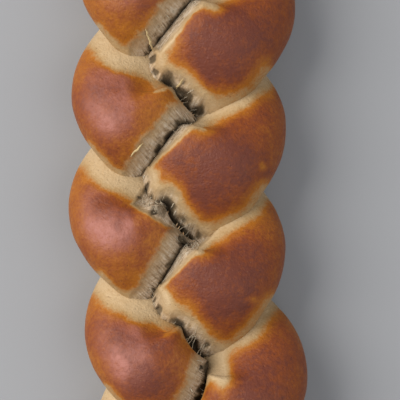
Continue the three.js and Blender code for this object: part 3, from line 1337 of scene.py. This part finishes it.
@dataclass
class GlutenThreads:
    """Strands of dough that still bridge the gaps."""

    share: float = 0.3
    spacing: float = 1.4 * MM
    reach: float = 4.5 * MM
    radius: float = 0.18 * MM
    seed: int = 61

    def build(self, ropes: list, material: bpy.types.Material) -> bpy.types.Object:
        """Makes the strands.

        Args:
            ropes: the shaped surfaces.
            material: what they are made of.

        Returns:
            One mesh object.
        """
        draw = np.random.default_rng(self.seed)
        everything = np.vstack([rope.points[rope.torn > 0] for rope in ropes])
        ends = []
        for rope in ropes:
            for row in rim_rows(rope, self.spacing):
                if draw.random() > self.share:
                    continue
                start = rope.points[row] - rope.leading[row] * 0.6 * MM - [0, 0, 0.3 * MM]
                aim = rope.points[row] + rope.leading[row] * self.reach * draw.uniform(0.5, 1.3)
                aim = aim + rope.forward[row] * draw.normal(0, 1.6 * MM)
                far = everything[np.argmin(((everything[:, :2] - aim[:2]) ** 2).sum(axis=1))]
                if abs(far[2] - start[2]) < 9 * MM and np.hypot(*(far - start)[:2]) < 8 * MM:
                    ends.append((start, far - [0, 0, 0.3 * MM]))
        return Strands(self.radius, 0.9 * MM, 1.6, 0.6).build("gluten_threads", ends, material)


@dataclass(frozen=True)
class Strand:
    """A thick strand of dough that lies on the loaf, in mm."""

    start: tuple
    end: tuple
    rise: float


# The strands in the loaf's frame, from one end to the other
STRANDS = (
    Strand((-17.9, 76.4), (-15.0, 66.8), 0.8),
    Strand((-26.6, 19.4), (-21.0, 25.1), 0.5),
    Strand((-5.2, 49.8), (-1.6, 54.0), 1.2),
)


@dataclass
class ThickStrands:
    """The few thick strands that stand out."""

    strands: tuple
    radius: float = 0.55 * MM

    def build(self, skins: list, material: bpy.types.Material) -> bpy.types.Object:
        """Lays the strands on the shaped ropes.

        Args:
            skins: the rope objects.
            material: what the strands are made of.

        Returns:
            One mesh object.
        """
        trees = [tree_of(skin.data) for skin in skins]
        ends = [(self._on(trees, strand.start, strand.rise), self._on(trees, strand.end, strand.rise))
                for strand in self.strands]
        return Strands(self.radius, -0.8 * MM, 0.3, 1.0).build("dough_strands", ends, material)

    def _on(self, trees: list, spot: tuple, rise: float) -> np.ndarray:
        """Finds the top of the ropes.

        Args:
            trees: for casting rays at the ropes.
            spot: where, in mm.
            rise: how far above them the place is, in mm.

        Returns:
            The place, in metres.
        """
        x, y = np.multiply(spot, MM)
        hits = [tree.ray_cast(Vector((x, y, SKY)), DOWN)[0] for tree in trees]
        height = max(hit.z for hit in hits if hit is not None)
        return np.array([x, y, height + rise * MM])


@dataclass
class Strands:
    """Sagging, uneven strands between pairs of places."""

    radius: float
    sag: float  # above 0, the middle hangs down
    thick_ends: float  # as a share of the radius
    thick_middle: float  # as a share of the radius
    step: float = 0.5 * MM

    def build(self, name: str, ends: list, material: bpy.types.Material) -> bpy.types.Object:
        """Makes the strands.

        Args:
            name: the object's name.
            ends: the two ends of each strand.
            material: what the strands are made of.

        Returns:
            One mesh object.
        """
        mesh = bpy.data.meshes.new(name + "_ends")
        spots = [tuple(end) for pair in ends for end in pair]
        mesh.from_pydata(spots, [(2 * i, 2 * i + 1) for i in range(len(ends))], [])
        return run_tree(name, self._tree(material), {}, mesh)

    def _tree(self, material: bpy.types.Material) -> bpy.types.NodeTree:
        """Builds the tree that turns edges into strands.

        Args:
            material: what the strands are made of.

        Returns:
            The tree.
        """
        tree, start, sizes = piece_tree("Strands", {
            "radius": self.radius, "sag": self.sag, "step": self.step,
            "thick_ends": self.thick_ends, "thick_middle": self.thick_middle})
        curve = tree.val("GeometryNodeMeshToCurve", inputs={"Mesh": start})
        curve = tree.val("GeometryNodeResampleCurve", {"mode": "LENGTH"}, {
            "Curve": curve, "Length": sizes["step"]})
        share = tree.val("GeometryNodeSplineParameter", output="Factor")
        bow = share * (1.0 - share) * 4.0
        wander = tree.vector("SCALE", wandering(tree, 450.0), bow * (1.6 * MM))
        sag = tree.val("ShaderNodeCombineXYZ", inputs={0: 0.0, 1: 0.0, 2: bow * sizes["sag"] * -1.0})
        curve = tree.val("GeometryNodeSetPosition", inputs={
            "Geometry": curve, "Offset": tree.vector("ADD", wander, sag)})
        thick = tree.val("ShaderNodeTexNoise", inputs={"Scale": 900.0, "Detail": 1.0})
        swell = sizes["thick_ends"] + (sizes["thick_middle"] - sizes["thick_ends"]) * bow
        radius = sizes["radius"] * (0.4 + thick * 1.2) * swell
        profile = tree.val("GeometryNodeCurvePrimitiveCircle", inputs={"Resolution": 6, "Radius": 1.0})
        mesh = tree.val("GeometryNodeCurveToMesh", inputs={
            "Curve": curve, "Profile Curve": profile, "Scale": radius, "Fill Caps": True})
        return finish_tree(tree, mesh, material)


def rim_rows(rope: RopeSurface, spacing: float) -> np.ndarray:
    """Finds the points that lie outermost along the leading edges that show.

    Args:
        rope: its shaped surface.
        spacing: about how far apart they are.

    Returns:
        Their numbers.
    """
    near = np.abs(rope.away[Meeting.LEADS]) < 3 * MM
    rows = np.flatnonzero(near & (rope.over > 0.25) & (rope.edge > 0.6) & (rope.up > 0.2) & (rope.up < 0.8))
    bins = np.floor(rope.lobes[rows] * ROPE_PER_LOBE / spacing).astype(int)
    extent = (rope.points[rows] * rope.leading[rows]).sum(axis=1)
    order = np.lexsort((-extent, bins))
    _, first = np.unique(bins[order], return_index=True)
    return rows[order[first]]


def cell_distances(points: np.ndarray, size: float, seed: int) -> tuple:
    """Measures how far points lie from one scattered point in each cell of a grid.

    Args:
        points: the points.
        size: of a cell.
        seed: which scattered points.

    Returns:
        The distances to the nearest and the second nearest one, as shares of the size.
    """
    scaled = points / size
    cell = np.floor(scaled).astype(np.int64)
    first = np.full(len(points), 9.0)
    second = np.full(len(points), 9.0)
    for step in np.ndindex(3, 3, 3):
        corner = cell + np.array(step) - 1
        centre = corner + np.stack([hashed(corner, seed + axis) for axis in range(3)], axis=1)
        gap = np.sqrt(((scaled - centre) ** 2).sum(axis=1))
        second = np.minimum(second, np.maximum(first, gap))
        first = np.minimum(first, gap)
    return first, second


def point_cloud(name: str, spots: np.ndarray, ways: np.ndarray, sizes: np.ndarray) -> bpy.types.Mesh:
    """Makes a mesh of loose points.

    Args:
        name: the mesh's name.
        spots: where the points are.
        ways: the direction of each.
        sizes: the size of each.

    Returns:
        The mesh, with the attributes way and size.
    """
    mesh = bpy.data.meshes.new(name)
    mesh.from_pydata([tuple(spot) for spot in spots], [], [])
    way = mesh.attributes.new("way", "FLOAT_VECTOR", "POINT")
    way.data.foreach_set("vector", ways.astype(np.float32).ravel())
    write(mesh, "size", sizes)
    return mesh


def piece_tree(name: str, sizes: dict) -> tuple:
    """Starts a tree that takes a mesh and named sizes.

    Args:
        name: the tree's name.
        sizes: its number inputs and their values.

    Returns:
        The tree, its mesh input, and its number inputs by name.
    """
    group = bpy.data.node_groups.new(name, "GeometryNodeTree")
    group.interface.new_socket("Geometry", in_out="INPUT", socket_type="NodeSocketGeometry")
    group.interface.new_socket("Geometry", in_out="OUTPUT", socket_type="NodeSocketGeometry")
    for size, value in sizes.items():
        group.interface.new_socket(size, in_out="INPUT", socket_type="NodeSocketFloat").default_value = value
    tree = Tree(group)
    entry = tree.node("NodeGroupInput")
    inputs = {size: Val(tree, entry.outputs[size]) for size in sizes}
    return tree, Val(tree, entry.outputs["Geometry"]), inputs


def finish_tree(tree: Tree, mesh: Val, material: bpy.types.Material) -> bpy.types.NodeTree:
    """Ends a tree with real geometry in its material.

    Args:
        tree: the tree.
        mesh: what it made.
        material: what that is made of.

    Returns:
        The finished tree.
    """
    mesh = tree.val("GeometryNodeRealizeInstances", inputs={"Geometry": mesh})
    mesh = tree.val("GeometryNodeSetMaterial", inputs={"Geometry": mesh, "Material": material})
    tree.node("NodeGroupOutput", inputs={"Geometry": mesh})
    return tree.tree


def wandering(tree: Tree, scale: float) -> Val:
    """A vector that wanders to all sides from place to place."""
    texture = tree.val("ShaderNodeTexNoise", inputs={"Scale": scale, "Detail": 1.0}, output="Color")
    return tree.vector("SUBTRACT", texture, (0.5, 0.5, 0.5))


def mix(t: Tree, factor: Any, first: Any, second: Any) -> Val:
    """Blends two colours.

    Args:
        t: the tree.
        factor: how much of the second there is.
        first: the first colour.
        second: the second colour.

    Returns:
        The blend.
    """
    first = first if isinstance(first, Val) else (*first, 1.0)
    second = second if isinstance(second, Val) else (*second, 1.0)
    return t.val("ShaderNodeMix", {"data_type": "RGBA"}, {0: factor, 6: first, 7: second}, output=2)


def start_material(name: str) -> tuple:
    """Starts a material.

    Args:
        name: its name.

    Returns:
        The material, its empty tree, and the place on the piece as a value of the tree.
    """
    material = bpy.data.materials.new(name)
    material.use_nodes = True
    material.node_tree.nodes.clear()
    t = Tree(material.node_tree)
    return material, t, t.val("ShaderNodeTexCoord", output="Object")


def finish_material(t: Tree, surface: dict, relief: Val, strength: float, depth: float) -> None:
    """Ends a material's tree with its shader.

    Args:
        t: the tree.
        surface: the shader's sockets, but for the relief.
        relief: the height of the surface's small bumps.
        strength: how much they show.
        depth: how high they are.
    """
    bump = t.val("ShaderNodeBump", inputs={"Strength": strength, "Distance": depth, "Height": relief})
    shader = t.val("ShaderNodeBsdfPrincipled", inputs={**surface, "Normal": bump})
    t.node("ShaderNodeOutputMaterial", inputs={"Surface": shader})


@dataclass(frozen=True)
class CrustFinish:
    """Baked crust, golden to mahogany, and the grey torn crumb, with a painted sheen on the left crowns and
    painted shade in the pockets and gaps.
    """

    cream: tuple = (0.505, 0.365, 0.205)
    golden: tuple = (0.395, 0.25, 0.11)
    orange: tuple = (0.35, 0.117, 0.010)
    mahogany: tuple = (0.213, 0.053, 0.013)
    dark: tuple = (0.135, 0.036, 0.020)
    # the mauve tint of the painted sheen on the left crowns
    sheen_tint: tuple = (0.36, 0.14, 0.105)
    skin: tuple = (0.38, 0.26, 0.135)
    rim: tuple = (0.64, 0.44, 0.25)
    crumb: tuple = (0.45, 0.335, 0.22)
    crumb_pale: tuple = (0.64, 0.54, 0.41)
    crumb_dark: tuple = (0.14, 0.10, 0.06)
    # painted shade: the dark colours of the pockets and of the deepest gaps
    pocket: tuple = (0.14, 0.10, 0.055)
    pit_colour: tuple = (0.055, 0.040, 0.025)

    def build(self) -> bpy.types.Material:
        """Makes the material."""
        material, t, place = start_material("crust")
        chart = t.val("ShaderNodeUVMap", {"uv_map": "dough"})
        bake, bloom, torn, pit, rim = (
            t.val("ShaderNodeAttribute", {"attribute_name": name}, output="Fac")
            for name in ("bake", "bloom", "torn", "pit", "rim")
        )

        def cloud(size: float, detail: float = 3.0, where: Val = place) -> Val:
            """Noise from -0.5 to 0.5 with lumps of that size in mm."""
            texture = t.val("ShaderNodeTexNoise", inputs={
                "Vector": where, "Scale": 1 / (size * MM), "Detail": detail, "Roughness": 0.6})
            return texture - 0.5

        fine = cloud(0.9, 3)
        blotches = cloud(13) * 0.2 + cloud(4) * 0.34 + cloud(1.5, 3) * 0.46
        crust = t.val("ShaderNodeValToRGB", {"stops": [
            (0.06, self.cream), (0.3, self.golden), (0.52, self.orange), (0.8, self.mahogany),
            (1.0, self.dark),
        ]}, {0: bake + blotches * (0.4 + bake * 0.6)})
        fibres = t.val("ShaderNodeMapping", inputs={"Vector": chart, "Scale": (0.14, 1.0, 1.0)})
        streaks = cloud(0.9, 4, fibres)
        grain = t.val("ShaderNodeValToRGB", {"stops": [
            (0.15, self.crumb_dark), (0.45, self.crumb), (0.85, self.crumb_pale),
        ]}, {0: streaks * 1.7 + cloud(2.2, 4) * 1.0 + 0.5})
        edge = torn + cloud(3.5, 4) * 4.0 + streaks * 3.0 + fine * 1.2
        to_skin = clamp(t, edge * 0.36 + 0.75, 0.0, 1.0)
        is_torn = clamp(t, edge * 0.17 - 0.05, 0.0, 1.0)
        # Painted sheen: a mauve tint on the left crowns stands in for the reflection of the light.
        crust = mix(t, bloom * (cloud(2.4, 3) * 1.2 + 0.7), crust, self.sheen_tint)
        specks, holes = (
            t.val("ShaderNodeTexVoronoi", inputs={"Vector": place, "Scale": 1 / size}, output="Distance")
            for size in (1.9 * MM, 2.6 * MM)
        )
        in_patches = clamp(t, cloud(6, 2) * 4 + 0.4, 0.0, 1.0)
        crust = mix(t, clamp(t, 0.55 - specks * 4.0, 0.0, 0.5) * in_patches, crust, self.golden)
        crust = mix(t, clamp(t, 0.6 - holes * 4.0, 0.0, 0.45), crust, self.dark)
        colour = mix(t, to_skin * 0.8, crust, self.skin)
        colour = mix(t, is_torn, colour, grain)
        colour = mix(t, clamp(t, rim * 1.6 - 0.75 + fine, 0.0, 0.7), colour, self.rim)
        # Painted shade: the pockets darken, and the deepest gaps go nearly black.
        colour = mix(t, clamp(t, pit * 2.2 - 0.5 + fine * 0.6, 0.0, 0.85), colour, self.pocket)
        colour = mix(t, clamp(t, (pit - 0.6) * 2.4 + fine * 0.4, 0.0, 0.92), colour, self.pit_colour)

        pricks = t.minimum(holes * 4.5, 1.0)
        wrinkles = cloud(1.1, 4) * 0.7 + cloud(3.2, 3) * 1.0 + pricks * 0.3
        rough = streaks * 2.2 + cloud(1.3, 4) * 1.8
        relief = wrinkles + is_torn * (rough - wrinkles)
        roughness = 0.44 + is_torn * 0.46 + blotches * 0.2
        surface = {"Base Color": colour, "Roughness": roughness, "Specular IOR Level": 0.2}
        finish_material(t, surface, relief, 0.75, 0.65 * MM)
        return material


@dataclass(frozen=True)
class ShredFinish:
    """Thin torn dough, between two colours."""

    name: str
    light: tuple
    deep: tuple
    roughness: float = 0.75

    def build(self) -> bpy.types.Material:
        """Makes the material."""
        material, t, place = start_material(self.name)
        lumps, grit = (
            t.val("ShaderNodeTexNoise", inputs={"Vector": place, "Scale": 1 / size, "Detail": 3.0})
            for size in (2.5 * MM, 0.5 * MM)
        )
        colour = mix(t, clamp(t, lumps * 2.2 - 0.6, 0.0, 1.0), self.deep, self.light)
        roughness = grit * 0.2 + (self.roughness - 0.1)
        surface = {"Base Color": colour, "Roughness": roughness, "Specular IOR Level": 0.3}
        finish_material(t, surface, grit, 0.5, 0.1 * MM)
        return material


@dataclass
class Loaf:
    """The dressed loaf: its ropes and what their tears left behind."""

    plait: Plait
    spots: tuple = ()

    def build(self) -> list:
        """Makes the loaf.

        Returns:
            The ropes first and then the small pieces.
        """
        middle = self.plait.middle(CAP_SHARE)
        skins = DoughRopes(self.plait, middle).build(CrustFinish().build())
        lobes = LobeMap()
        lobes.look_down(skins)
        ropes = [RopeSurface(skin.data, number, self.plait, lobes) for number, skin in enumerate(skins)]
        tears, oven = Tears(), Oven(spots=self.spots)
        for rope in ropes:
            tears.shape(rope)
            bake = oven.brown(rope)
            bloom = oven.bloom(rope, bake)
            rope.keep(bake=bake, bloom=bloom, torn=rope.torn / MM, pit=rope.pit, rim=rope.rim)
        pale_crust, pale_crumb, golden_dough = (finish.build() for finish in (
            ShredFinish("torn_crust", (0.66, 0.47, 0.27), (0.42, 0.22, 0.09)),
            ShredFinish("torn_crumb", (0.56, 0.49, 0.37), (0.27, 0.21, 0.13)),
            ShredFinish("dough_strand", (0.55, 0.42, 0.21), (0.36, 0.25, 0.12)),
        ))
        small = [
            CrustTeeth().build(ropes, pale_crust),
            CrumbShreds().build(ropes, pale_crumb),
            GlutenThreads().build(ropes, pale_crumb),
            ThickStrands(STRANDS).build(skins, golden_dough),
        ]
        for skin in skins:
            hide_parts(NODE)
        for piece in skins + small:
            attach(piece, BODY)
        return skins + small


@dataclass
class Studio:
    """The floor, the lights and the camera."""

    view_side: float = 184 * MM  # the side of what the camera sees, at the focus height
    camera_height: float = 0.95
    focus_height: float = 0.02
    sensor: float = 36.0
    roll: float = -2.0  # degrees
    target: tuple = (3.8 * MM, -1.1 * MM)
    floor_side: float = 6.0
    floor_drop: float = 0.3 * MM

    def build(self) -> None:
        """Sets up the studio."""
        scene = bpy.context.scene
        data = bpy.data.cameras.new("camera")
        camera = new_object("camera", data)
        camera.location = (*self.target, self.camera_height)
        camera.rotation_euler = (0.0, 0.0, math.radians(self.roll))
        data.sensor_width = self.sensor
        data.lens = self.sensor * (self.camera_height - self.focus_height) / self.view_side
        data.clip_start = 0.01
        scene.camera = camera
        self._floor()
        self._light("window", (-2.7, 1.1, 2.4), 3.6, 218.0, (1.0, 0.97, 0.94))
        self._light("bounce", (1.8, -0.8, 2.6), 3.0, 36.0, (0.92, 0.96, 1.0))
        world = bpy.data.worlds.new("room")
        world.use_nodes = True
        background = world.node_tree.nodes["Background"]
        background.inputs["Color"].default_value = (0.92, 0.95, 1.0, 1.0)
        background.inputs["Strength"].default_value = 0.42
        scene.world = world
        scene.view_settings.view_transform = "Standard"

    def _floor(self) -> None:
        """Lays the floor."""
        half = self.floor_side / 2
        mesh = bpy.data.meshes.new("floor")
        corners = [(-half, -half), (half, -half), (half, half), (-half, half)]
        mesh.from_pydata([(x, y, -self.floor_drop) for x, y in corners], [], [(0, 1, 2, 3)])
        material = bpy.data.materials.new("floor")
        material.use_nodes = True
        shader = material.node_tree.nodes["Principled BSDF"]
        shader.inputs["Base Color"].default_value = (0.30, 0.303, 0.311, 1.0)
        shader.inputs["Roughness"].default_value = 0.9
        mesh.materials.append(material)
        new_object("floor", mesh)

    def _light(self, name: str, spot: tuple, side: float, watts: float, colour: tuple) -> None:
        """Hangs a soft square light that faces the loaf.

        Args:
            name: its name.
            spot: its place.
            side: its size.
            watts: its power.
            colour: its colour.
        """
        data = bpy.data.lights.new(name, "AREA")
        data.size = side
        data.energy = watts
        data.color = colour
        light = new_object(name, data)
        light.location = spot
        light.rotation_euler = Vector(spot).to_track_quat("Z", "Y").to_euler()


def main() -> None:
    """Builds the loaf and its studio."""
    logging.basicConfig(level=logging.INFO, format="%(name)s %(message)s")
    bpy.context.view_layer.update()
    Studio().build()
    for piece in Loaf(Plait(), SPOTS).build():
        LOG.info("%s: %d faces", piece.name, len(piece.data.polygons))


if __name__ == "__main__":
    main()
